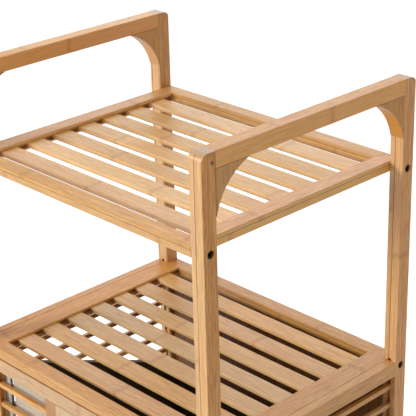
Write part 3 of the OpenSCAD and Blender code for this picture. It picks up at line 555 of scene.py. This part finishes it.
def planPoints(pieces, count):
    # evenly spaced (point, outward normal, piece number, share along the piece, distance from the start)
    lengths = [planLength(piece) for piece in pieces]
    total = sum(lengths)
    points = []
    for i in range(count):
        distance = total * i / count
        rest, number = distance, 0
        while rest > lengths[number]:
            rest -= lengths[number]
            number += 1
        piece, share = pieces[number], rest / lengths[number]
        if piece[0] == "run":
            point, normal = Vector(piece[1]).lerp(Vector(piece[2]), share), Vector(piece[3])
        else:
            angle = math.radians(piece[3] + (piece[4] - piece[3]) * share)
            normal = Vector((math.cos(angle), math.sin(angle)))
            point = Vector(piece[1]) + normal * piece[2]
        points.append((point, normal, number, share, distance))
    return points, total


def rodHeight(y, cfg):
    # centre of the rim rod above the floor at this depth
    return linerBox[1].z - cfg["rodBelowHem"] - (y - linerBox[0].y) * math.tan(math.radians(cfg["rimSlope"]))


def besideFront(out, y):
    # the hem lies flat behind the boards, so it stands out only at the sides and back
    near = smoothStep(linerBox[0].y + 0.025, linerBox[0].y + 0.004, y)
    return out * (1 - 0.65 * near) - 0.0034 * near


def wallInset(point, number, share, distance, total, t, z, waves, cfg):
    # how far the wall hangs in from its plan line here, t from 0 at the sleeve seam to 1 at the floor
    front = number in (5, 6, 7)
    middle = math.sin(math.pi * share) ** 0.7 if number in (0, 2, 4, 6) else 0.0
    inset = (cfg["frontBow"] if front else cfg["bow"]) * middle * math.sin(math.pi * min(1.0, t)) ** 0.8
    fold = sum(size * math.sin(count * 2 * math.pi * distance / total + phase + lean * t)
               for count, phase, size, lean in waves) / 4.5
    quiet = smoothStep(-0.02, 0.22, t) * smoothStep(1.02, 0.86, t) * (0.6 if front else 1.0)
    crease = noise.noise(Vector((point.x * 22, point.y * 22, z * 12)))
    fine = noise.noise(Vector((point.x * 60, point.y * 60, z * 34 + 7)))
    return inset + quiet * (cfg["folds"] * (1.0 + fold) + 0.0014 * abs(crease) + 0.0005 * fine)


def sleeveProfile(cfg):
    # (stand from the plan line, height over the rod centre), up the outside, over the rod, down the inside
    wrap, out, drop = cfg["rodRadius"] + cfg["cloth"], cfg["rodOut"], cfg["sleeve"]
    profile = [((out + wrap) * smoothStep(0.0, 0.85, k / 8), -drop * (1 - k / 8)) for k in range(9)]
    profile += [(out + wrap * math.cos(math.pi * k / 9), wrap * math.sin(math.pi * k / 9))
                for k in range(1, 9)]
    profile += [(out - wrap - 0.0017 * k / 8, -drop * k / 8) for k in range(9)]
    return profile


def linerRows(cfg):
    # rings of (x, y, z, along, down), from the middle of the floor up the walls and over the rod
    low, high = linerBox
    random.seed(cfg["seed"])
    waves = [(random.randint(6, 34), random.uniform(0, 6.283), random.uniform(0.3, 1.0),
              random.uniform(-1.5, 1.5)) for _ in range(10)]
    points, total = planPoints(planPieces(low, high, cfg), cfg["around"])
    reach = {1: 0.0185, 3: 0.0185, 5: 0.0056, 7: 0.0056}   # corners can't be drawn in past their centres
    walls = []
    for k in range(cfg["wallRows"]):
        t = 1 - k / cfg["wallRows"]
        ring = []
        for point, normal, number, share, distance in points:
            top = rodHeight(point.y, cfg) - cfg["sleeve"]
            z = top + (low.z - top) * t
            lift = max(0.0, 1 - (z - low.z) / cfg["foot"])
            inset = wallInset(point, number, share, distance, total, t, z, waves, cfg)
            inset += cfg["foot"] * (1 - math.sqrt(max(0.0, 1 - lift * lift))) - besideFront(0.0, point.y)
            place = point - normal * min(inset, reach.get(number, 1.0))
            ring.append((place.x, place.y, z, distance, z))
        walls.append(ring)
    middle = Vector(((low.x + high.x) / 2, (low.y + high.y) / 2))
    rows = []
    for k in range(1, cfg["floorRows"]):
        share = 1 - k / cfg["floorRows"]
        ring = []
        for x, y, z, along, down in walls[0]:
            place = Vector((x, y)).lerp(middle, share)
            crease = noise.noise(Vector((place.x * 17, place.y * 17, 3.0)))
            rise = 0.0018 * abs(crease) * smoothStep(0.0, 0.2, share)
            ring.append((place.x, place.y, low.z + rise, place.x, place.y))
        rows.append(ring)
    rows += walls
    for out, up in sleeveProfile(cfg):
        ring = []
        for point, normal, number, share, distance in points:
            gathered = smoothStep(-0.3, -1.0, up / cfg["sleeve"])
            pucker = gathered * 0.0003 * math.sin(distance * 2 * math.pi / 0.009)
            place = point + normal * (besideFront(out, point.y) + pucker)
            z = rodHeight(point.y, cfg) + up
            ring.append((place.x, place.y, z, distance, z + 2 * out))
        rows.append(ring)
    return rows, middle, points


def makeLiner(cfg):
    rows, middle, points = linerRows(cfg)
    n = cfg["around"]
    verts = [entry[:3] for row in rows for entry in row] + [(middle.x, middle.y, linerBox[0].z)]
    uvs = [entry[3:] for row in rows for entry in row] + [(middle.x, middle.y)]
    faces = [(r * n + i, r * n + (i + 1) % n, (r + 1) * n + (i + 1) % n, (r + 1) * n + i)
             for r in range(len(rows) - 1) for i in range(n)]
    faces += [((i + 1) % n, i, len(verts) - 1) for i in range(n)]
    faces = [face[::-1] for face in faces]   # outwards
    bag = meshPiece("liner_cloth", verts, faces, linen, None)
    bag.data.materials.append(darkLiningAndShade)
    layUv(bag.data, uvs)
    inside = len(rows) - 10   # rows from here on hang inside the rod
    for face in bag.data.polygons:
        if face.index // n >= inside and len(face.vertices) == 4:
            face.material_index = 1
    wall = bag.modifiers.new("cloth", "SOLIDIFY")
    wall.thickness = cfg["cloth"]
    wall.offset = -1.0
    # the inner face takes the dark lining, whose darkness is partly painted shade
    wall.material_offset = 1
    bake(bag)
    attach(bag, "front")
    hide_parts("liner_bag")
    return rows, points


def layUv(mesh, uvs):
    layer = mesh.uv_layers.new(name="cut")
    for loop in mesh.loops:
        layer.data[loop.index].uv = uvs[loop.vertex_index]


linerRings, linerPoints = makeLiner(liner)
print("liner cloth done")


def newTree(name, sizes):
    # an empty geometry tree with named inputs
    tree = bpy.data.node_groups.new(name, "GeometryNodeTree")
    tree.interface.new_socket("Geometry", in_out="INPUT", socket_type="NodeSocketGeometry")
    for label, kind, value in (*sizes, ("Material", "Material", None)):
        made = tree.interface.new_socket(label, in_out="INPUT", socket_type="NodeSocket" + kind)
        if value is not None:
            made.default_value = value
    tree.interface.new_socket("Geometry", in_out="OUTPUT", socket_type="NodeSocketGeometry")
    return tree, addNode(tree, "NodeGroupInput").outputs


def endTree(tree, geometry, material):
    whole = addNode(tree, "GeometryNodeRealizeInstances", None, {"Geometry": geometry})
    smooth = addNode(tree, "GeometryNodeSetShadeSmooth", None, {"Geometry": whole})
    finish = addNode(tree, "GeometryNodeSetMaterial", None, {"Geometry": smooth, "Material": material})
    addNode(tree, "NodeGroupOutput", None, {"Geometry": finish})


def growPiece(name, verts, edges, tree, values, body):
    # a piece that a geometry tree grows on a few guide points
    mesh = bpy.data.meshes.new(name)
    mesh.from_pydata(verts, edges, [])
    piece = bpy.data.objects.new(name, mesh)
    bpy.context.scene.collection.objects.link(piece)
    grower = piece.modifiers.new("grower", "NODES")
    grower.node_group = tree
    sockets = {item.name: item.identifier for item in tree.interface.items_tree if item.in_out == "INPUT"}
    for label, value in values.items():
        grower[sockets[label]] = value
    bake(piece)
    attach(piece, body)


def makeStitchTree():
    # lockstitches: short plump threads laid end to end along a seam
    tree, size = newTree("stitchRow", [("Pitch", "Float", 0.0034), ("Thread", "Float", 0.0006),
                                       ("Seed", "Int", 3)])
    line = addNode(tree, "GeometryNodeMeshToCurve", None, {"Mesh": size["Geometry"]})
    spaced = addNode(tree, "GeometryNodeResampleCurve", {"mode": "LENGTH"},
                     {"Curve": line, "Length": size["Pitch"]})
    bead = addNode(tree, "GeometryNodeMeshUVSphere", None, {"Segments": 8, "Rings": 5, "Radius": 0.5})
    tangent = addNode(tree, "GeometryNodeInputTangent")
    facing = addNode(tree, "FunctionNodeAlignRotationToVector", {"axis": "X"}, {"Vector": tangent})
    long = addNode(tree, "ShaderNodeMath", {"operation": "MULTIPLY"}, (size["Pitch"], 0.78))
    uneven = addNode(tree, "FunctionNodeRandomValue", {"data_type": "FLOAT"},
                     {"Min": 0.9, "Max": 1.1, "Seed": size["Seed"]})
    length = addNode(tree, "ShaderNodeMath", {"operation": "MULTIPLY"}, (long, uneven.outputs[1]))
    stretch = addNode(tree, "ShaderNodeCombineXYZ", None, (length, size["Thread"], size["Thread"]))
    laid = addNode(tree, "GeometryNodeInstanceOnPoints", None,
                   {"Points": spaced, "Instance": bead, "Rotation": facing, "Scale": stretch})
    endTree(tree, laid, size["Material"])
    return tree


def makePipingTree():
    # a round cord or welt swept along a seam
    tree, size = newTree("seamPiping", [("Radius", "Float", 0.001)])
    line = addNode(tree, "GeometryNodeMeshToCurve", None, {"Mesh": size["Geometry"]})
    profile = addNode(tree, "GeometryNodeCurvePrimitiveCircle", None,
                      {"Resolution": 8, "Radius": size["Radius"]})
    swept = addNode(tree, "GeometryNodeCurveToMesh", None,
                    {"Curve": line, "Profile Curve": profile, "Fill Caps": True})
    endTree(tree, swept, size["Material"])
    return tree


def makeHeadTree():
    # turned heads: a dome with a cross recess, set on each point and facing the given way
    tree, size = newTree("setHeads", [("Radius", "Float", 0.003), ("Height", "Float", 0.0016),
                                      ("Facing", "Vector", (0, 1, 0))])
    dome = addNode(tree, "GeometryNodeMeshUVSphere", None, {"Segments": 20, "Rings": 10, "Radius": 1.0})
    cut = addNode(tree, "GeometryNodeMeshBoolean", {"operation": "DIFFERENCE"}, {"Mesh 1": dome})
    for slit in ((0.9, 0.22, 1.2), (0.22, 0.9, 1.2)):
        bar = addNode(tree, "GeometryNodeMeshCube", None, {"Size": slit})
        raised = addNode(tree, "GeometryNodeTransform", None, {"Geometry": bar, "Translation": (0, 0, 1.1)})
        tree.links.new(raised.outputs[0], cut.inputs["Mesh 2"])
    scale = addNode(tree, "ShaderNodeCombineXYZ", None, (size["Radius"], size["Radius"], size["Height"]))
    turn = addNode(tree, "FunctionNodeAlignRotationToVector", {"axis": "Z"}, {"Vector": size["Facing"]})
    points = addNode(tree, "GeometryNodeMeshToPoints", None, {"Mesh": size["Geometry"]})
    laid = addNode(tree, "GeometryNodeInstanceOnPoints", None,
                   {"Points": points, "Instance": cut, "Rotation": turn, "Scale": scale})
    endTree(tree, laid, size["Material"])
    return tree


def chain(count, closed=False):
    return [(i, i + 1) for i in range(count - 1)] + ([(count - 1, 0)] if closed else [])


stitchTree = makeStitchTree()
pipingTree = makePipingTree()
headTree = makeHeadTree()
seams = {
    "pitch": 0.0034, "thread": 0.0007, "stitchLift": 0.0001,   # thread drawn a little thick so that it shows
    "welt": 0.0011, "weltLift": 0.0003,
}


def sew(name, path, closed=False):
    growPiece(name, path, chain(len(path), closed), stitchTree,
              {"Pitch": seams["pitch"], "Thread": seams["thread"], "Material": thread},
              "front")


def pipe(name, path, radius, material, closed=False):
    growPiece(name, path, chain(len(path), closed), pipingTree, {"Radius": radius, "Material": material},
              "front")


def seamPath(row, lift, keep):
    # points along one ring of the bag, on the kept pieces of its plan, lifted off the cloth
    return [(x + normal.x * lift, y + normal.y * lift, z)
            for (x, y, z, _, _), (point, normal, number, _, _) in zip(row, linerPoints) if number in keep]


def risePath(column, lift, rings):
    # points up the bag's wall at one place round it
    normal = linerPoints[column][1]
    rise = [linerRings[ring][column] for ring in rings]
    return [(x + normal.x * lift, y + normal.y * lift, z) for x, y, z, _, _ in rise]


def makeSeams(cfg, bag):
    allRound, sidesAndBack = range(8), range(5)
    floorRings = bag["floorRows"] - 1
    wallTop = floorRings + bag["wallRows"]
    for name, ring in (("sleeve_stitches_low", wallTop + 1), ("sleeve_stitches_high", wallTop + 2)):
        sew(name, seamPath(linerRings[ring], cfg["stitchLift"], sidesAndBack))
    path = seamPath(linerRings[floorRings + 2], cfg["weltLift"], allRound)
    pipe("floor_seam_welt", path, cfg["welt"], linen, True)
    sew("floor_seam_stitches", seamPath(linerRings[floorRings + 4], cfg["stitchLift"], allRound), True)
    rings = range(floorRings + 2, wallTop)
    for name, number, step in (("left", 1, 4), ("right", 3, -4)):
        around = [i for i, entry in enumerate(linerPoints) if entry[2] == number]
        corner = min(around, key=lambda i: abs(linerPoints[i][3] - 0.5))
        pipe(f"back_seam_welt_{name}", risePath(corner, cfg["weltLift"], rings), cfg["welt"], linen)
        sew(f"back_seam_stitches_{name}", risePath(corner + step, cfg["stitchLift"], rings))


tapes = {
    "inner": 0.1742, "outer": 0.1965,   # from the cart's middle
    "top": 0.541, "bottom": 0.136, "weave": 0.0009, "rows": 90, "columns": 6,
    "loose": (0.186, 0.180),            # from here inwards the tape stands off the stile
    "cord": 0.0018, "cordLine": 0.1750, "cordStand": 0.0021,
    "stitchLines": {"inner": 0.1778, "outer": 0.1850}, "stitchStand": 0.0004,
    "screwLine": 0.1915, "screwStand": 0.0009, "screws": 5, "screwMargin": 0.02,
    "screwRadius": 0.0034, "screwHeight": 0.0018,
}


def makeTape(name, side, cfg):
    # woven tape that carries the bag's front edge on the back of the stile
    columns, count = cfg["columns"], cfg["rows"]
    back = linerBox[0].y
    rise = cfg["top"] - cfg["bottom"]
    verts, uvs = [], []
    for k in range(count + 1):
        z = cfg["bottom"] + rise * k / count
        for c in range(columns + 1):
            x = cfg["inner"] + (cfg["outer"] - cfg["inner"]) * c / columns
            slack = smoothStep(*cfg["loose"], x) * (0.0006 + 0.0005 * math.sin(z * 97 + side))
            verts.append((side * x, back + 0.0001 + slack, z))
            uvs.append((x, z))
    faces = []
    for k in range(count):
        for c in range(columns):
            a = k * (columns + 1) + c
            face = (a, a + 1, a + columns + 2, a + columns + 1)
            faces.append(face if side > 0 else face[::-1])
    strip = meshPiece(name, verts, faces, tape, None)
    layUv(strip.data, uvs)
    thick = strip.modifiers.new("weave", "SOLIDIFY")
    thick.thickness = cfg["weave"]
    thick.offset = -1.0
    bake(strip)
    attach(strip, "front")
    heights = [cfg["bottom"] + 0.002 + (rise - 0.004) * k / 60 for k in range(61)]
    path = [(side * cfg["cordLine"], back + cfg["cordStand"], z) for z in heights]
    # the cord's dark colour is partly painted shade along the seam
    pipe(f"{name}_cord", path, cfg["cord"], darkCordAndSeamShade)
    for part, x in cfg["stitchLines"].items():
        sew(f"{name}_stitches_{part}", [(side * x, back + cfg["stitchStand"], z) for z in heights])


def makeScrews(name, side, cfg):
    # cross-head screws through the tape
    first, gaps = cfg["bottom"] + cfg["screwMargin"], cfg["screws"] - 1
    span = cfg["top"] - cfg["bottom"] - 2 * cfg["screwMargin"]
    places = [(side * cfg["screwLine"], linerBox[0].y + cfg["screwStand"], first + k * span / gaps)
              for k in range(cfg["screws"])]
    growPiece(name, places, [], headTree,
              {"Radius": cfg["screwRadius"], "Height": cfg["screwHeight"], "Facing": (0, 1, 0),
               "Material": zincSteel}, "front")


makeSeams(seams, liner)
for name, side in (("left", -1), ("right", 1)):
    makeTape(f"tape_{name}", side, tapes)
for name, side in (("left", -1), ("right", 1)):
    makeScrews(f"tape_screws_{name}", side, tapes)
print("seams, tape, stitches and screws done")


def makeRibTree():
    # raised grip ribs in a row across the pedal
    tree, size = newTree("gripRibs", [("Width", "Float", 0.016), ("Radius", "Float", 0.0007)])
    points = addNode(tree, "GeometryNodeMeshToPoints", None, {"Mesh": size["Geometry"]})
    rib = addNode(tree, "GeometryNodeMeshCylinder", None,
                  {"Vertices": 14, "Side Segments": 1, "Radius": size["Radius"], "Depth": size["Width"]})
    lying = addNode(tree, "GeometryNodeTransform", None,
                    {"Geometry": rib, "Rotation": (math.radians(90), 0, 0)})
    laid = addNode(tree, "GeometryNodeInstanceOnPoints", None, {"Points": points, "Instance": lying})
    endTree(tree, laid, size["Material"])
    return tree


def makeFinTree():
    # moulded fins between the hub's sleeve and its rim, fanned round the axle
    tree, size = newTree("hubFins", [("Count", "Int", 5), ("Inner", "Float", 0.006),
                                     ("Outer", "Float", 0.014), ("Thick", "Float", 0.0016),
                                     ("Width", "Float", 0.01), ("Centre", "Vector", (0, 0, 0))])
    step = addNode(tree, "ShaderNodeMath", {"operation": "DIVIDE"}, (2 * math.pi, size["Count"]))
    line = addNode(tree, "GeometryNodeMeshLine", None, {"Count": size["Count"], "Offset": (0, 0, 0)})
    index = addNode(tree, "GeometryNodeInputIndex")
    angle = addNode(tree, "ShaderNodeMath", {"operation": "MULTIPLY"}, (index, step))
    spin = addNode(tree, "ShaderNodeCombineXYZ", None, {1: angle})
    length = addNode(tree, "ShaderNodeMath", {"operation": "SUBTRACT"}, (size["Outer"], size["Inner"]))
    block = addNode(tree, "ShaderNodeCombineXYZ", None, (length, size["Width"], size["Thick"]))
    fin = addNode(tree, "GeometryNodeMeshCube", None, {"Size": block})
    reach = addNode(tree, "ShaderNodeMath", {"operation": "ADD"}, (size["Outer"], size["Inner"]))
    half = addNode(tree, "ShaderNodeMath", {"operation": "MULTIPLY"}, (reach, 0.5))
    outwards = addNode(tree, "ShaderNodeCombineXYZ", None, {0: half})
    moved = addNode(tree, "GeometryNodeTransform", None, {"Geometry": fin, "Translation": outwards})
    placed = addNode(tree, "GeometryNodeSetPosition", None, {"Geometry": line, "Offset": size["Centre"]})
    points = addNode(tree, "GeometryNodeMeshToPoints", None, {"Mesh": placed})
    laid = addNode(tree, "GeometryNodeInstanceOnPoints", None,
                   {"Points": points, "Instance": moved, "Rotation": spin})
    endTree(tree, laid, size["Material"])
    return tree


ribTree = makeRibTree()
finTree = makeFinTree()
caster = {
    "fins": 5, "finThick": 0.0015, "finWidth": 0.86,   # share of the hub's width
    "sleeveRadius": 0.0058, "rimWall": 0.0024,
    "ringRadius": 0.0205, "ringBead": 0.0004, "ringPoints": 64, "ringSunk": 0.0001,
    "capRadius": 0.0038, "capHeight": 0.0012,
    "ribs": 5, "ribPitch": 0.0028, "ribLength": 0.0165, "ribRadius": 0.0007,
    "ribSunk": 0.00015, "ribRise": 0.00018,   # the pedal's top slopes up towards its tip's end
}


def finHub(corner, cfg):
    low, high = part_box(f"wheel_hub_{corner}")
    growPiece(f"hub_fins_{corner}", [(0, 0, 0)], [], finTree,
              {"Count": cfg["fins"], "Inner": cfg["sleeveRadius"],
               "Outer": (high.z - low.z) / 2 - cfg["rimWall"], "Thick": cfg["finThick"],
               "Width": (high.y - low.y) * cfg["finWidth"], "Centre": tuple((low + high) / 2),
               "Material": nylon}, f"wheel_{corner}")
    return (low + high) / 2


def ringTyre(corner, centre, cfg):
    # a fine moulded bead round each sidewall
    low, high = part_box(f"wheel_tyre_{corner}")
    count, radius = cfg["ringPoints"], cfg["ringRadius"]
    angles = [2 * math.pi * i / count for i in range(count)]
    verts = [(centre.x + radius * math.cos(angle), y, centre.z + radius * math.sin(angle))
             for y in (low.y + cfg["ringSunk"], high.y - cfg["ringSunk"]) for angle in angles]
    edges = [(start + i, start + (i + 1) % count) for start in (0, count) for i in range(count)]
    growPiece(f"tyre_rings_{corner}", verts, edges, pipingTree,
              {"Radius": cfg["ringBead"], "Material": rubber}, f"wheel_{corner}")


def capAxle(corner, centre, cfg):
    low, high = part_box(f"caster_axle_{corner}")
    for part, y, facing in (("near", low.y, (0, -1, 0)), ("far", high.y, (0, 1, 0))):
        growPiece(f"axle_cap_{part}_{corner}", [(centre.x, y, centre.z)], [], headTree,
                  {"Radius": cfg["capRadius"], "Height": cfg["capHeight"], "Facing": facing,
                   "Material": zincSteel}, f"caster_{corner}")


def ribPedal(corner, centre, across, cfg):
    low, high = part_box(f"brake_pedal_{corner}")
    tip = high.x if across < 0 else low.x   # the pedal reaches inwards
    ribs = [(tip + across * cfg["ribPitch"] * (k + 1), centre.y, high.z - cfg["ribSunk"] + cfg["ribRise"] * k)
            for k in range(cfg["ribs"])]
    growPiece(f"pedal_ribs_{corner}", ribs, [], ribTree,
              {"Width": cfg["ribLength"], "Radius": cfg["ribRadius"], "Material": nylon},
              f"brake_{corner}")


for corner, (across, depth) in corners.items():
    wheelCentre = finHub(corner, caster)
    ringTyre(corner, wheelCentre, caster)
    capAxle(corner, wheelCentre, caster)
    if depth < 0:
        ribPedal(corner, wheelCentre, across, caster)
print("casters done")
